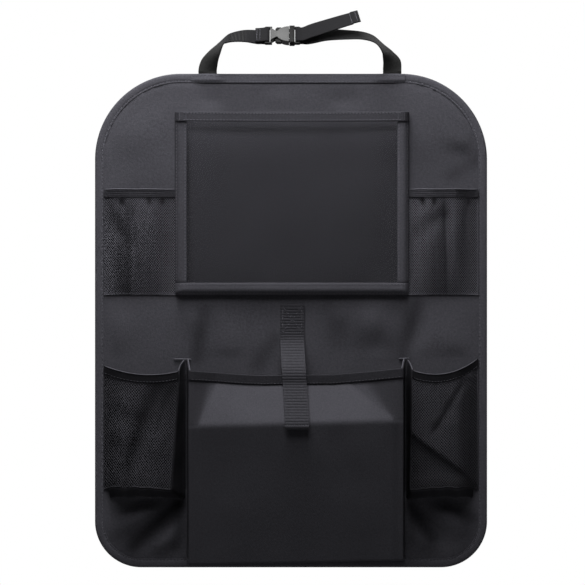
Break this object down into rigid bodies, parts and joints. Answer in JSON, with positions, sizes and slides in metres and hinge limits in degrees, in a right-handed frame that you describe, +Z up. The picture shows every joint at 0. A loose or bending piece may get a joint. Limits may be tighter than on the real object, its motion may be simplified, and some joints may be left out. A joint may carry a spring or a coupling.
{
  "type": "car seat back organizer",
  "caption": "Fabric panel that hangs behind a car seat, with a clear window pocket, mesh side pockets, a gusseted box pocket with a closing strap, and a headrest strap with a side-release buckle.",
  "frame": {"origin": "centre of the panel's flat rear face, which lies against the seat back", "axes": "+Z up along the panel, +X to the right as seen from the front, +Y out of the rear face towards the seat, so that the pockets face -Y"},
  "size_m": [0.425, 0.0506, 0.6029],
  "materials": {
    "panel_cloth": "matt charcoal woven cloth",
    "binding_tape": "matt woven tape",
    "net": "black diamond net",
    "hem_elastic": "ribbed elastic hem",
    "clear_film": "clear soft PVC film",
    "webbing": "flat black webbing",
    "closure_webbing": "ribbed dark grey webbing",
    "touch_fastener": "hook and loop tape",
    "grey_plastic": "satin grey moulded plastic",
    "black_plastic": "black moulded plastic"
  },
  "bodies": {
    "organizer": {"back_panel": "panel_cloth", "edge_binding": "binding_tape", "top_band": "binding_tape", "window_border_left": "binding_tape", "window_border_right": "binding_tape", "window_border_bottom": "binding_tape", "window_border_top": "binding_tape", "window_film": "clear_film", "mesh_upper_left": "net", "hem_upper_left": "hem_elastic", "mesh_upper_right": "net", "hem_upper_right": "hem_elastic", "mesh_lower_left": "net", "hem_lower_left": "hem_elastic", "gusset_lower_left": "binding_tape", "mesh_lower_right": "net", "hem_lower_right": "hem_elastic", "gusset_lower_right": "binding_tape", "pocket_front": "panel_cloth", "pocket_hem": "hem_elastic", "pocket_gusset_left": "panel_cloth", "pocket_gusset_right": "panel_cloth", "pocket_gusset_bottom": "panel_cloth", "closure_strap": "closure_webbing", "closure_loop_patch": "touch_fastener", "closure_hook_patch": "touch_fastener", "strap_left": "webbing", "strap_right": "webbing", "buckle_socket": "grey_plastic"},
    "plug": {"buckle_plug": "black_plastic"}
  },
  "joints": [
    {"name": "buckle_release", "type": "slide", "parent": "organizer", "child": "plug", "axis": [1, 0, 0], "range_m": [0, 0.02], "deforming": ["buckle_plug", "strap_right"]}
  ]
}
